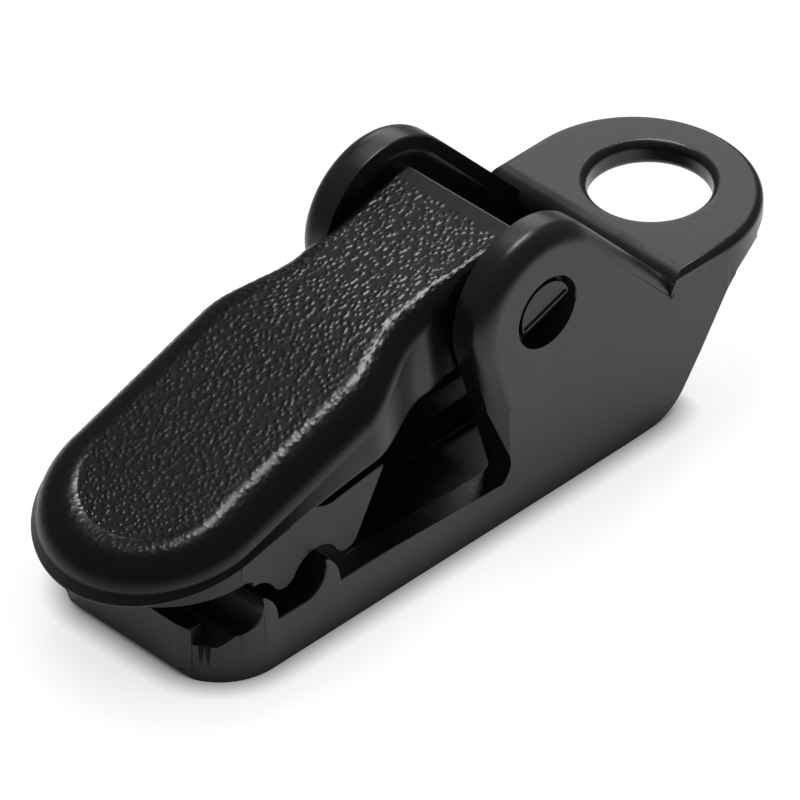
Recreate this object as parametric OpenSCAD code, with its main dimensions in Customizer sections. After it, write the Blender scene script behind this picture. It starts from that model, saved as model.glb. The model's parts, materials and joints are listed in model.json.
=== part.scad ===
// Tarp clip: two black mouldings. The body has a toothed floor, two hinge ears and a ring eye for a cord.
// The upper jaw is a domed bill with its own teeth, and swings in the ears on two moulded trunnions.
// Millimetres, +Z up, +X from the bill to the ring. The origin is on the ground midway along the clip.
// A size that ends in _s is a distance along the clip from the front of the body, and _z is a height.

/* [Body] */
// Width over the two flat sides
body_w = 25.6; // [22:0.1:30]
// Plan radius of the two front corners
nose_r = 7.2; // [3:0.1:8]
// Radius under the front edge
nose_under_r = 1; // [0.5:0.1:2]
// Height of the side rims just behind the teeth
rim_front_z = 5.6; // [5:0.1:6.2]
// Height of the side rims at the foot of the ears
rim_rear_z = 4.5; // [4:0.1:5.2]
// Width of each side rim beside the sunk floor
rim_w = 2.7; // [2:0.1:3.5]
// Height of the sunk floor
tray_z = 2.4; // [1.6:0.1:3]
// Where the sunk floor begins
tray_start_s = 20; // [19:0.1:22.5]
// Thickness of the rib along the middle of the sunk floor
rib_w = 2.6; // [1.6:0.1:4]
// Height of the middle rib
rib_z = 6; // [5:0.1:6.5]

/* [Lower teeth] */
// Number of lower teeth
tooth_n = 2; // [1:1:2]
// Where the tip of the first tooth stands
tooth_s = 6; // [5.6:0.1:6.6]
// Distance from tooth to tooth
tooth_pitch = 8.4; // [7.8:0.1:9]
// Height of the tooth tops
tooth_z = 9.2; // [8.6:0.1:9.6]
// Height that is blunted off each tooth's tip
tooth_blunt = 0.25; // [0.1:0.05:0.4]
// Radius of the round back of each tooth
tooth_back_r = 4.5; // [4.2:0.1:5.2]
// Radius of the hollow front of each tooth
tooth_front_r = 2.8; // [2.4:0.1:3.2]
// Thickness of the front lip
lip_t = 2; // [1.4:0.1:2.2]
// Height of the front lip
lip_z = 6.3; // [5:0.1:7]
// Width of the front lip
lip_w = 17; // [12:0.5:18]
// Height of the floor between the lip and the first tooth
pocket_z = 4.3; // [3.5:0.1:5]

/* [Ears] */
// Where the pivot lies along the clip
pin_s = 44.9; // [43.5:0.1:46.5]
// Height of the pivot
pin_z = 22.8; // [22:0.1:24]
// Diameter of the pivot holes
pin_d = 8; // [6:0.1:9]
// Thickness of each ear
ear_t = 4.1; // [3.6:0.1:4.6]
// Radius of the round ear tops
ear_r = 9.1; // [8.5:0.1:10]
// Radius on the ears' outer edges
ear_edge_r = 2.1; // [0.6:0.1:2.6]
// Forward lean of the ears' front edges, in degrees
ear_lean = 16.4; // [10:0.2:20]
// Slope of the ears' rear edges, in degrees
ear_slope = 47; // [44:0.5:50]
// Radius in the corner between an ear and its rim
ear_foot_r = 1.6; // [0.8:0.1:2.4]

/* [Ring eye] */
// Height of the eye's top face
eye_z = 17.3; // [16.4:0.1:18]
// Thickness of the eye plate
eye_t = 2.9; // [2.5:0.1:3.6]
// Diameter of the eye
eye_d = 12.6; // [8:0.1:13]
// Where the middle of the eye lies
eye_s = 72.8; // [72:0.1:73.5]
// Where the round end has its middle
end_s = 70.7; // [69.9:0.1:71.5]
// Radius on the plate's outer edges
plate_edge_r = 0.9; // [0.5:0.1:1.2]
// Radius on the two edges of the eye
eye_edge_r = 0.9; // [0.4:0.1:1.1]
// Where the wall behind the well stands
wall_s = 62.5; // [61.9:0.1:63.1]
// Thickness of that wall
wall_t = 3; // [2.9:0.05:3.4]
// Radius on the top of that wall
wall_top_r = 2.4; // [1:0.1:3]
// Where the slope behind the clip would meet the ground
heel_s = 63.1; // [62.7:0.1:64.5]
// Thickness of the two side walls that leave the heel open under the eye
heel_side_t = 2.6; // [2:0.1:4]
// Slope behind the clip, in degrees
heel_slope = 57; // [54:1:61]
// Radius under the heel
heel_r = 6; // [3:0.5:8]
// Radius in the corner between that slope and the eye plate
heel_top_r = 7; // [4:0.5:8]

/* [Upper jaw] */
// How far the bill's sides stand in from the body's sides
bill_in = 0.3; // [0.1:0.05:0.6]
// How far the bill reaches past the front of the body
bill_reach = 7.7; // [6.5:0.1:10.5]
// Where the bill begins to narrow to the waist
flare_front_s = 21.5; // [19.5:0.1:22.5]
// Where the bill has narrowed to the waist
flare_rear_s = 32; // [30.5:0.1:33.5]
// How far the waist in front of the ears stands in from the body's sides
waist_in = 3.7; // [3.3:0.1:4.1]
// Gap between the neck and each ear
neck_gap = 0.25; // [0.15:0.05:0.4]
// Where the top ends, with a sharp edge
top_s = 46.1; // [45.5:0.1:46.5]
// Height of the top's rear edge
top_z = 29.5; // [28.5:0.1:30.5]
// Where the top bends downward
knee_s = 28; // [25.5:0.1:30.5]
// Slope of the top behind the bend, in degrees
neck_slope = 10; // [6:0.5:13]
// Slope of the top in front of the bend, in degrees
bill_slope = 18.2; // [15:0.2:21]
// Length of the bend
knee_l = 12; // [4:0.5:16]
// Rounding of the bill's top edges, measured inward
round_in = 4.6; // [3:0.1:5.5]
// Rounding of the bill's top edges, measured downward
round_down = 3.7; // [2.5:0.1:4]
// Rounding of the neck's top edges
neck_round = 1.3; // [0.6:0.1:2]
// Height of the shell's lower edge at the tip of the bill
shell_tip_z = 10.8; // [10:0.1:11.6]
// Height of the shell's lower edge at the neck
shell_neck_z = 17.8; // [17.2:0.1:18.4]
// Radius of the round hub about the pivot
hub_r = 5.3; // [5:0.1:5.8]
// Wall left round the hollow under the neck
shell_t = 2.4; // [1.6:0.1:3]

/* [Upper teeth] */
// How far the tooth block stands in from the shell's sides
block_inset = 1; // [0.6:0.1:1.6]
// Height of the block's front underside
block_z = 10.9; // [10.4:0.1:11.6]
// Height of the upper tooth tips over the side rims
bite_gap = 2; // [1.4:0.1:2.4]
// Radius of the notches over the lower teeth
notch_r = 3.2; // [2.9:0.1:3.4]
// Gap between the lower tooth tops and the notches
mesh_gap = 0.9; // [0.5:0.05:1.1]
// Slope of the block's rear face, in degrees
block_slope = 61; // [50:1:70]

/* [Trunnions] */
// Clearance round each trunnion
pin_gap = 0.07; // [0.04:0.01:0.1]
// How far each trunnion end lies below the ear's face
pin_sink = 0.15; // [0.1:0.05:1]
// Bevel round each trunnion's end
pin_bevel = 0.5; // [0.2:0.05:0.6]
// Depth of the lead-in ramp at the trunnion's lower edge
ramp_l = 2.2; // [1:0.1:2.8]

/* [Hidden] */
$fn = 96;
// How far a cut runs past the face that it opens
over = 1;
// How far a piece is sunk into the piece that carries it
bury = 0.5;
half_w = body_w / 2;
ear_in = half_w - ear_t;
neck_hw = ear_in - neck_gap;
pin_r = pin_d / 2;
bill_r = half_w - bill_in;
bill_s = bill_r - bill_reach;
// The whole length runs from the bill's tip to the round end
length_all = bill_reach + end_s + half_w;
middle_s = length_all / 2 - bill_reach;
tall = pin_z + ear_r + over;
front_turn = 180 + ear_lean;
rear_turn = 90 - ear_slope;
// The ears' front slabs end inside the floor, with their outer corners just above the ground
ear_front_l = (pin_z - ear_r * sin(ear_lean) - bury) / cos(ear_lean);
plate_mid_z = eye_z - eye_t / 2;
ear_rear_l = (pin_z + ear_r * sin(rear_turn) - plate_mid_z) / cos(rear_turn);
plate_s = wall_s + wall_top_r;
teeth_s = [for (i = [0:tooth_n - 1]) tooth_s + i * tooth_pitch];
last_tooth_s = teeth_s[tooth_n - 1];
// The tooth's back and its hollow front are arcs that would meet at the unblunted tip
tooth_rise = tooth_z + tooth_blunt - rim_front_z;
back_mid = [-sqrt(tooth_back_r * tooth_back_r - tooth_rise * tooth_rise), rim_front_z];
front_drop = tooth_rise - tooth_front_r;
front_mid = [-sqrt(tooth_front_r * tooth_front_r - front_drop * front_drop), rim_front_z + tooth_front_r];
notch_z = tooth_z + mesh_gap - notch_r;
tip_z = rim_front_z + bite_gap;
// The upper tips are arcs that run smoothly into the notches on both sides
tip_drop = tip_z - notch_z;
tip_r = (tooth_pitch * tooth_pitch / 4 + tip_drop * tip_drop - notch_r * notch_r) / (notch_r - tip_drop) / 2;
tip_mid_z = tip_z + tip_r;
join_z = notch_z + (tip_mid_z - notch_z) * notch_r / (notch_r + tip_r);
block_top_z = shell_neck_z + bury;
trunnion_r = pin_r - pin_gap;
trunnion_y = half_w - pin_sink;
top_hw = half_w - waist_in;
// Steps round the bill's tip, along its sides and over its rounded edge
tip_steps = 18;
side_steps = 26;
round_steps = 7;

// Point at a distance and a turn from a middle
function polar(mid, r, a) = [mid[0] + r * cos(a), mid[1] + r * sin(a)];

// Smooth step from zero to one
function ease(t) = let (u = max(0, min(1, t))) u * u * (3 - 2 * u);

// Height of the top at a distance along the clip: two slopes with a bend between them
function knee_z() = top_z - (top_s - knee_s) * tan(neck_slope);
function crown_z(s) = knee_z() + (s - knee_s) * (s < knee_s ? tan(bill_slope) : tan(neck_slope))
    - knee_sag(s);
function knee_sag(s) = let (d = max(0, 1 / 2 - abs(s - knee_s) / knee_l))
    d * d * knee_l / 2 * (tan(bill_slope) - tan(neck_slope));

// Half width of the jaw behind the tip's half circle: bill, flare, waist and neck
function jaw_hw(s) = bill_r + (top_hw - bill_r) * ease((s - flare_front_s) / (flare_rear_s - flare_front_s))
    + (neck_hw - top_hw) * ease((s - flare_rear_s) / (neck_start_s() - flare_rear_s));
function neck_start_s() = pin_s - ear_r;

// Share of the bill's rounding that is left on the way back to the neck
function round_share(s) = 1 - ease((s - flare_front_s) / (top_s - flare_front_s));
function in_at(s) = neck_round + (round_in - neck_round) * round_share(s);
function down_at(s) = neck_round + (round_down - neck_round) * round_share(s);

// Height of the shell's lower edge, which drops in a curve toward the tip
function drop_share(s) = let (t = max(0, (neck_start_s() - s) / (neck_start_s() + bill_reach))) t * t;
function shell_z(s) = shell_neck_z + (shell_tip_z - shell_neck_z) * drop_share(s);

// One point of the shell's half outline: i counts from the tip, inset is how far the point stands in
function side_s(i) = bill_s + (top_s - bill_s) * (i - tip_steps) / side_steps;
function edge_s(i) = i < tip_steps ? bill_s - bill_r * cos(90 * i / tip_steps) : side_s(i);
function edge_in(i, inset) = i < tip_steps
    ? [bill_s - (bill_r - inset) * cos(90 * i / tip_steps), (bill_r - inset) * sin(90 * i / tip_steps)]
    : [side_s(i), jaw_hw(side_s(i)) - inset];
function edge_point(i, a) = let (
        s = edge_s(i),
        p = edge_in(i, in_at(s) * (1 - cos(a))),
        q = edge_in(i, in_at(s)))
    [p[0], p[1], crown_z(q[0]) - down_at(s) * (1 - sin(a))];
function rim_point(i) = let (p = edge_in(i, 0)) [p[0], p[1], shell_z(p[0])];

last_i = tip_steps + side_steps;
ring_n = 2 * last_i + 1;
// A ring runs from the rear on one side, round the tip, to the rear on the other side
function ring(j) = [for (k = [-last_i:last_i]) let (
        p = j < 0 ? rim_point(abs(k)) : edge_point(abs(k), 90 * j / round_steps))
    [p[0], sign(k) * p[1], p[2]]];
function at(j, k) = (j + 1) * ring_n + k + last_i;

// Solid shell of the bill, waist and neck, lofted from its lower edge up over the rounded top edge
module shell_solid() {
    points = [for (j = [-1:round_steps]) each ring(j)];
    wall = [for (j = [-1:round_steps - 1], k = [-last_i:last_i - 1]) each [
        [at(j, k), at(j, k + 1), at(j + 1, k + 1)],
        [at(j, k), at(j + 1, k + 1), at(j + 1, k)]]];
    top = [for (i = [1:last_i - 1]) each [
        [at(round_steps, -i), at(round_steps, i), at(round_steps, i + 1)],
        [at(round_steps, -i), at(round_steps, i + 1), at(round_steps, -i - 1)]]];
    under = [for (i = [1:last_i - 1]) each [
        [at(-1, -i), at(-1, i + 1), at(-1, i)],
        [at(-1, -i), at(-1, -i - 1), at(-1, i + 1)]]];
    tips = [[at(round_steps, -1), at(round_steps, 0), at(round_steps, 1)], [at(-1, -1), at(-1, 1), at(-1, 0)]];
    rear = [[
        for (j = [-1:round_steps]) at(j, -last_i),
        for (j = [round_steps:-1:-1]) at(j, last_i)]];
    polyhedron(points, concat(wall, top, under, tips, rear));
}

// Sweeps a profile drawn along the clip over a width that is even about the middle
module across(w) {
    translate([0, w / 2, 0])
        rotate([90, 0, 0])
            linear_extrude(w)
                children();
}

// Plan of the body: rounded front corners and a half round end
module body_plan() {
    for (side = [-1, 1])
        translate([nose_r, side * (half_w - nose_r)])
            circle(nose_r);
    translate([0, nose_r - half_w])
        square([end_s, body_w - 2 * nose_r]);
    translate([nose_r, -half_w])
        square([end_s - nose_r, body_w]);
    translate([end_s, 0])
        circle(half_w);
}

heel_mid = [heel_s - heel_r * tan(heel_slope / 2), heel_r];
heel_top_s = heel_s + plate_mid_z / tan(heel_slope);
heel_top_z = eye_z - eye_t - heel_top_r;
heel_top_mid = [heel_s + heel_top_z / tan(heel_slope) + heel_top_r / sin(heel_slope), heel_top_z];

// Side profile of the floor and of the heel that rises to the eye plate
module floor_profile() {
    polygon([
        [nose_under_r, 0],
        [heel_mid[0], 0],
        polar(heel_mid, heel_r, heel_slope - 90),
        [heel_top_s, plate_mid_z],
        [plate_s, plate_mid_z],
        [plate_s, rim_rear_z],
        [pin_s, rim_rear_z],
        [last_tooth_s + tooth_pitch, rim_front_z],
        [tooth_s + front_mid[0], rim_front_z],
        [lip_t, pocket_z],
        [0, pocket_z],
        [0, nose_under_r],
        [nose_under_r, nose_under_r]]);
    intersection() {
        translate(heel_mid)
            circle(heel_r);
        translate([heel_mid[0], 0])
            square([heel_r, rim_rear_z]);
    }
    difference() {
        polygon([
            polar(heel_top_mid, heel_top_r, 90 + heel_slope),
            polar(heel_top_mid, heel_top_r, 90),
            [heel_top_mid[0], plate_mid_z],
            [plate_s, plate_mid_z]]);
        translate(heel_top_mid)
            circle(heel_top_r);
    }
    translate([nose_under_r, nose_under_r])
        circle(nose_under_r);
    for (s = teeth_s)
        translate([s, 0])
            tooth_profile();
}

// Side profile of a lower tooth: hollow in front, round behind and blunt at the tip
module tooth_profile() {
    difference() {
        intersection() {
            translate(back_mid)
                circle(tooth_back_r);
            translate([front_mid[0], pocket_z])
                square([2 * tooth_back_r, tooth_z - pocket_z]);
        }
        translate(front_mid)
            circle(tooth_front_r);
    }
}

// Side profile of the wall behind the well, with its rounded top
module wall_profile() {
    root_z = rim_rear_z - bury;
    translate([wall_s, root_z])
        square([wall_top_r + bury, eye_z - wall_top_r - root_z]);
    translate([plate_s, eye_z - wall_top_r])
        circle(wall_top_r);
}

// Cross section of the eye plate with rounded edges
module plate_section() {
    w = half_w - plate_edge_r;
    t = eye_t / 2 - plate_edge_r;
    square([2 * half_w, 2 * t], center = true);
    square([2 * w, eye_t], center = true);
    for (x = [-w, w], y = [-t, t])
        translate([x, y])
            circle(plate_edge_r);
}

// Stretch of the eye plate between two places along the clip
module plate_run(from_s, to_s) {
    translate([from_s, 0, plate_mid_z])
        rotate([90, 0, 90])
            linear_extrude(to_s - from_s)
                plate_section();
}

// Eye plate: its front edge is rounded as the wall's top is
module eye_plate() {
    intersection() {
        plate_run(wall_s - over, plate_s + bury);
        across(body_w + 2 * over)
            wall_profile();
    }
    plate_run(plate_s, end_s);
    translate([end_s, 0, plate_mid_z])
        rotate([0, 0, -90])
            rotate_extrude(angle = 180)
                intersection() {
                    plate_section();
                    translate([0, -eye_t])
                        square([body_w, 2 * eye_t]);
                }
}

// Flare that rounds one edge of the eye and clears what stands beyond it
module eye_flare(clear_l) {
    translate([eye_d / 2, -eye_edge_r])
        difference() {
            square([eye_edge_r, eye_edge_r + clear_l]);
            translate([eye_edge_r, 0])
                circle(eye_edge_r);
        }
}

module eye_cut() {
    translate([eye_s, 0, 0]) {
        translate([0, 0, -over])
            cylinder(d = eye_d, h = eye_z + 2 * over);
        translate([0, 0, eye_z])
            rotate_extrude()
                eye_flare(over);
        translate([0, 0, eye_z - eye_t])
            mirror([0, 0, 1])
                rotate_extrude()
                    eye_flare(eye_z);
    }
}

// Section of an ear from the pivot outward, with its outer edge rounded
module ear_section() {
    square([ear_r, ear_t - ear_edge_r]);
    square([ear_r - ear_edge_r, ear_t]);
    translate([ear_r - ear_edge_r, ear_t - ear_edge_r])
        circle(ear_edge_r);
}

// One ear, drawn flat about the pivot
module ear_flat() {
    rotate([0, 0, rear_turn])
        rotate_extrude(angle = front_turn - rear_turn)
            ear_section();
    rotate([0, 0, front_turn])
        translate([0, ear_front_l, 0])
            rotate([90, 0, 0])
                linear_extrude(ear_front_l)
                    ear_section();
    rotate([0, 0, rear_turn])
        rotate([90, 0, 0])
            linear_extrude(ear_rear_l)
                ear_section();
    inner = polar([0, 0], ear_r - ear_edge_r - bury, front_turn);
    foot = polar(inner, (pin_z + inner[1] - tray_z / 2) / cos(ear_lean), front_turn + 90);
    linear_extrude(ear_t)
        polygon([
            inner,
            foot,
            [heel_s - pin_s, foot[1]],
            [plate_s + bury - pin_s, rim_rear_z - pin_z],
            [plate_s + bury - pin_s, plate_mid_z - pin_z],
            polar(polar([0, 0], ear_rear_l - bury, rear_turn - 90), ear_r - ear_edge_r, rear_turn),
            polar([0, 0], ear_r / 2, rear_turn)]);
    corner = foot_corner();
    reach = ear_foot_r / tan((90 - ear_lean) / 2);
    translate([0, 0, ear_t - rim_w])
        linear_extrude(rim_w)
            difference() {
                polygon([
                    [corner[0] - reach, corner[1]],
                    [corner[0] - reach, corner[1] - bury],
                    [corner[0] + bury, corner[1] - bury],
                    polar(corner, reach, 90 + ear_lean)]);
                translate([corner[0] - reach, corner[1] + ear_foot_r])
                    circle(ear_foot_r);
            }
}

// Where an ear's front edge meets its rim, from the pivot
function foot_corner() = let (
        edge = polar([0, 0], ear_r, front_turn),
        drop = pin_z + edge[1] - rim_rear_z)
    [edge[0] + drop * tan(ear_lean), rim_rear_z - pin_z];

module ears() {
    for (side = [0, 1])
        mirror([0, side, 0])
            translate([pin_s, -ear_in, pin_z])
                rotate([90, 0, 0])
                    ear_flat();
}

// Sunk floor with its middle rib left standing
module tray_cut() {
    w = ear_in + ear_t - rim_w;
    for (side = [0, 1])
        mirror([0, side, 0])
            translate([tray_start_s, rib_w / 2, tray_z])
                cube([wall_s - tray_start_s, w - rib_w / 2, tall]);
}

// Space under the eye plate, open behind between the heel's two side walls
module heel_cut() {
    translate([wall_s + wall_t, heel_side_t - half_w, tray_z])
        cube([end_s + half_w - wall_s, body_w - 2 * heel_side_t, tall]);
}

module body() {
    color([0.05, 0.05, 0.055])
        translate([-middle_s, 0, 0])
            difference() {
                union() {
                    difference() {
                        intersection() {
                            linear_extrude(tall)
                                body_plan();
                            across(body_w + 2 * over)
                                floor_profile();
                        }
                        tray_cut();
                        heel_cut();
                    }
                    translate([0, -lip_w / 2, nose_under_r])
                        cube([lip_t, lip_w, lip_z - nose_under_r]);
                    translate([tray_start_s - bury, -rib_w / 2, nose_under_r])
                        cube([wall_s + bury - tray_start_s + bury, rib_w, rib_z - nose_under_r]);
                    across(2 * ear_in + 2 * bury)
                        wall_profile();
                    eye_plate();
                    ears();
                }
                eye_cut();
                translate([pin_s, half_w + over, pin_z])
                    rotate([90, 0, 0])
                        cylinder(r = pin_r, h = body_w + 2 * over);
            }
}

// Plan of the tooth block, standing in from the bill's outline
module block_plan() {
    translate([bill_s, 0])
        circle(bill_r - block_inset);
    translate([bill_s, block_inset - bill_r])
        square([flare_rear_s - bill_s, 2 * bill_r - 2 * block_inset]);
}

// Side profile of the tooth block: a flat front, notches over the lower teeth and round tips behind them
module block_profile() {
    tips_s = [for (s = teeth_s) s + tooth_pitch / 2];
    last_s = tips_s[tooth_n - 1];
    flank = polar([last_s, tip_mid_z], tip_r, block_slope - 90);
    rear_s = flank[0] + (block_top_z - flank[1]) / tan(block_slope);
    intersection() {
        union() {
            translate([-bill_reach, block_z])
                square([tooth_s + bill_reach, block_top_z - block_z]);
            difference() {
                polygon([
                    [tooth_s, join_z],
                    [last_s, join_z],
                    flank,
                    [rear_s, block_top_z],
                    [tooth_s, block_top_z]]);
                for (s = teeth_s)
                    translate([s, notch_z])
                        circle(notch_r);
            }
            for (s = tips_s)
                translate([s, tip_mid_z])
                    circle(tip_r);
        }
        polygon([
            [-bill_reach, 0],
            [rear_s, 0],
            for (i = [side_steps:-1:0])
                let (s = -bill_reach + (rear_s + bill_reach) * i / side_steps) [s, shell_z(s) + bury]]);
    }
}

// Hollow under the neck, open below
module neck_hollow() {
    front_s = flare_front_s + 2 * shell_t;
    translate([0, shell_t - neck_hw, 0])
        rotate([90, 0, 0])
            mirror([0, 0, 1])
                linear_extrude(2 * neck_hw - 2 * shell_t)
                    polygon([
                        [front_s, 0],
                        [pin_s - hub_r - shell_t, 0],
                        [pin_s - hub_r - shell_t, crown_z(pin_s - hub_r - shell_t) - shell_t],
                        [knee_s, crown_z(knee_s) - shell_t],
                        [front_s, crown_z(front_s) - shell_t]]);
}

// One trunnion end: flat above and ramped away below, square to the bill's top
module ramp_cut() {
    translate([pin_s, -trunnion_y, pin_z])
        rotate([0, -bill_slope, 0])
            rotate([atan(ramp_l / trunnion_r), 0, 0])
                translate([-trunnion_r - over, -2 * ramp_l - over, -trunnion_r - 2 * over])
                    cube([2 * trunnion_r + 2 * over, 2 * ramp_l + over, trunnion_r + 2 * over]);
}

module trunnions() {
    difference() {
        translate([pin_s, 0, pin_z])
            rotate([90, 0, 0])
                rotate_extrude()
                    polygon([
                        [0, -trunnion_y],
                        [trunnion_r - pin_bevel, -trunnion_y],
                        [trunnion_r, pin_bevel - trunnion_y],
                        [trunnion_r, trunnion_y - pin_bevel],
                        [trunnion_r - pin_bevel, trunnion_y],
                        [0, trunnion_y]]);
        for (side = [0, 1])
            mirror([0, side, 0])
                ramp_cut();
    }
}

module upper_jaw() {
    color([0.045, 0.045, 0.05])
        translate([-middle_s, 0, 0]) {
            difference() {
                union() {
                    shell_solid();
                    intersection() {
                        linear_extrude(tall)
                            block_plan();
                        across(2 * bill_r)
                            block_profile();
                    }
                }
                neck_hollow();
            }
            translate([pin_s, neck_hw, pin_z])
                rotate([90, 0, 0])
                    cylinder(r = hub_r, h = 2 * neck_hw);
            trunnions();
        }
}

body();
upper_jaw();
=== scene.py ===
"""Tarp clip: its two black mouldings dressed over their solids, and the stage for them."""

import json
import math

import bmesh
import bpy
import numpy as np
from bpy.props import FloatProperty, FloatVectorProperty, PointerProperty
from mathutils import Matrix, Vector


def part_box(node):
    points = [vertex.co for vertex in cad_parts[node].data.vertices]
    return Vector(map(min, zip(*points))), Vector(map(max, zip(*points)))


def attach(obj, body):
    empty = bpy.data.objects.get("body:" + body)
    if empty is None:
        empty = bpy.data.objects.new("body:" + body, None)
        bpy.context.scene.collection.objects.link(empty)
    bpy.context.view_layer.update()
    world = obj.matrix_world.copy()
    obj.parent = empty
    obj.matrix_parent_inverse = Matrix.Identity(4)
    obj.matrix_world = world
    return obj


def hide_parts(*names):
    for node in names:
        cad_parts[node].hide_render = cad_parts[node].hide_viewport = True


bl_info = {
    "name": "Tarp Clip",
    "version": (1, 0, 0),
    "blender": (4, 5, 0),
    "location": "3D View > Sidebar > Tarp Clip",
    "description": "Dresses the tarp clip's two mouldings and sets up its stage",
    "category": "Object",
}

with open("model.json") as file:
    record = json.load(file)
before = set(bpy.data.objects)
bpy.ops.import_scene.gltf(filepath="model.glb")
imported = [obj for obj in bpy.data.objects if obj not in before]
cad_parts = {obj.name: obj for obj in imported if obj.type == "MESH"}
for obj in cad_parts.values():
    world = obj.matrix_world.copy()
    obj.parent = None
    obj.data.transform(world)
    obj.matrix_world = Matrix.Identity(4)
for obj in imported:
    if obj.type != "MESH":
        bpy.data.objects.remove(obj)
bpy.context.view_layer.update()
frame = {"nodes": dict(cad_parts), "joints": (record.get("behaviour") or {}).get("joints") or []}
JAW_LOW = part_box("upper_jaw")[0]
PIVOT = Vector(frame["joints"][0]["pos_m"])
MM = 0.001

# Points closer than this become one
ONE_POINT = 1e-6
# The same for cuts by a plane, finer because a hair has to count
FINE_CUT = 1e-7
# A hair keeps the faces of joined shapes off shared planes
HAIR = 0.006 * MM
# How far blanks reach past the finished shape
OVER = 1 * MM
# Sides of the round tools, of the hub and of the tooth block's front
TOOL_SIDES, HUB_SIDES, FRONT_SIDES = 72, 128, 160
# Edges that turn more than this are rounded, and shaded sharp where they can't be
SHARP = math.radians(25)
# Ends of a rounded edge have this many widths of room and no narrower corner
ROOM, NARROW = 1.5, math.radians(15)
SOFT_SEGMENTS = 2


def length(label, words, default):
    """A length in metres that the sidebar shows in the scene's unit."""
    return FloatProperty(name=label, description=words, default=default, unit="LENGTH", precision=5)


def angle(label, words, degrees):
    """An angle that the sidebar shows in degrees."""
    return FloatProperty(
        name=label, description=words, default=math.radians(degrees), subtype="ANGLE")


class ClipShellSettings(bpy.types.PropertyGroup):
    """Sizes of the domed shell. Distances run back from the tip of the bill."""

    bill_radius: length("Bill radius", "Radius of the half-round tip", 12.5 * MM)
    flare_front: length("Flare front", "Where the bill begins to narrow", 29.2 * MM)
    flare_rear: length("Flare rear", "Where the bill has narrowed to the waist", 39.7 * MM)
    waist_half: length("Waist half width", "Half width just before the ears", 9.1 * MM)
    neck_start: length("Neck start", "Where the neck enters the ears", 43.5 * MM)
    neck_half: length("Neck half width", "Half width between the ears", 8.45 * MM)
    top_end: length("Top end", "Where the top ends", 53.8 * MM)
    top_height: length("Top height", "Height of the top's rear edge", 29.5 * MM)
    knee: length("Knee", "Where the top bends downward", 35.7 * MM)
    knee_length: length("Knee length", "Length of the bend", 12 * MM)
    neck_slope: angle("Neck slope", "Slope behind the bend", 10)
    bill_slope: angle("Bill slope", "Slope before the bend", 18.2)
    round_in: length("Round in", "Rounding of the bill's top edge, inward", 4.6 * MM)
    round_down: length("Round down", "Rounding of the bill's top edge, downward", 3.7 * MM)
    neck_round: length("Neck round", "Rounding of the neck's top edge", 1.3 * MM)
    tip_under: length("Tip under", "Height of the lower edge at the tip", 10.8 * MM)
    neck_under: length("Neck under", "Height of the lower edge at the neck", 17.8 * MM)
    draft: length("Draft", "How far the sides lean in below the rounding", 0.5 * MM)
    edge: length("Edge", "Small radius on the moulded edges", 0.3 * MM)
    wall: length("Wall", "Wall left round the hollow under the neck", 2.4 * MM)
    step: length("Step", "Spacing of the points on the top", 0.15 * MM)


class ClipGrainSettings(bpy.types.PropertyGroup):
    """The pebble grain moulded into the jaw's top."""

    pebble: length("Pebble", "Distance from pebble to pebble", 0.52 * MM)
    height: length("Height", "Height of a pebble", 0.042 * MM)
    front_share: FloatProperty(
        name="Front share", description="Share of the height that is left at the tip", default=0.6)
    rear_margin: length("Rear margin", "Smooth band before the rear edge", 1.7 * MM)


class ClipTeethSettings(bpy.types.PropertyGroup):
    """The tooth block under the bill."""

    inset: length("Inset", "How far the block stands in from the shell", 1 * MM)
    under: length("Underside", "Height of the front underside", 10.9 * MM)
    notch_at: length("First notch", "Distance of the first notch behind the bill's tip", 13.7 * MM)
    pitch: length("Pitch", "Distance from notch to notch", 8.4 * MM)
    notch_radius: length("Notch radius", "Radius of the notches", 3.2 * MM)
    notch_height: length("Notch height", "Height of the notches' middle", 6.9 * MM)
    tip_radius: length("Tip radius", "Radius of the tooth tips", 1.578 * MM)
    tip_height: length("Tip height", "Height of the tooth tips", 7.6 * MM)
    rear_slope: angle("Rear slope", "Slope of the rear face", 61)
    gap_at: length("Gap start", "Where the gap under the shell's rim begins", 19.5 * MM)
    gap_run: length("Gap run", "Distance over which the gap opens", 5 * MM)
    gap_height: length("Gap height", "Height of the gap that is seen below the rim", 0.9 * MM)
    gap_depth: length("Gap depth", "How far in the gap goes", 2.2 * MM)
    edge: length("Edge", "Small radius on the block's edges", 0.2 * MM)


class ClipHubSettings(bpy.types.PropertyGroup):
    """The hub and the two trunnions that turn in the ears."""

    hub_radius: length("Hub radius", "Radius of the hub between the ears", 5.3 * MM)
    trunnion_radius: length("Trunnion radius", "Radius of the trunnions", 3.93 * MM)
    trunnion_half: length("Trunnion half", "Distance of each end from the middle", 12.78 * MM)
    ramp: length("Ramp", "Depth of the lead-in ramp at its lower edge", 2.2 * MM)
    end_radius: length("End radius", "Radius of the narrower end", 3.3 * MM)
    end_length: length("End length", "Length of the narrower end", 1.4 * MM)
    bar_width: length("Bar width", "Width of the raised bar along the ramp's edge", 0.34 * MM)
    bar_height: length("Bar height", "Height of the raised bar", 0.18 * MM)
    edge: length("Edge", "Small radius on the ends' corners", 0.1 * MM)


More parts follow.
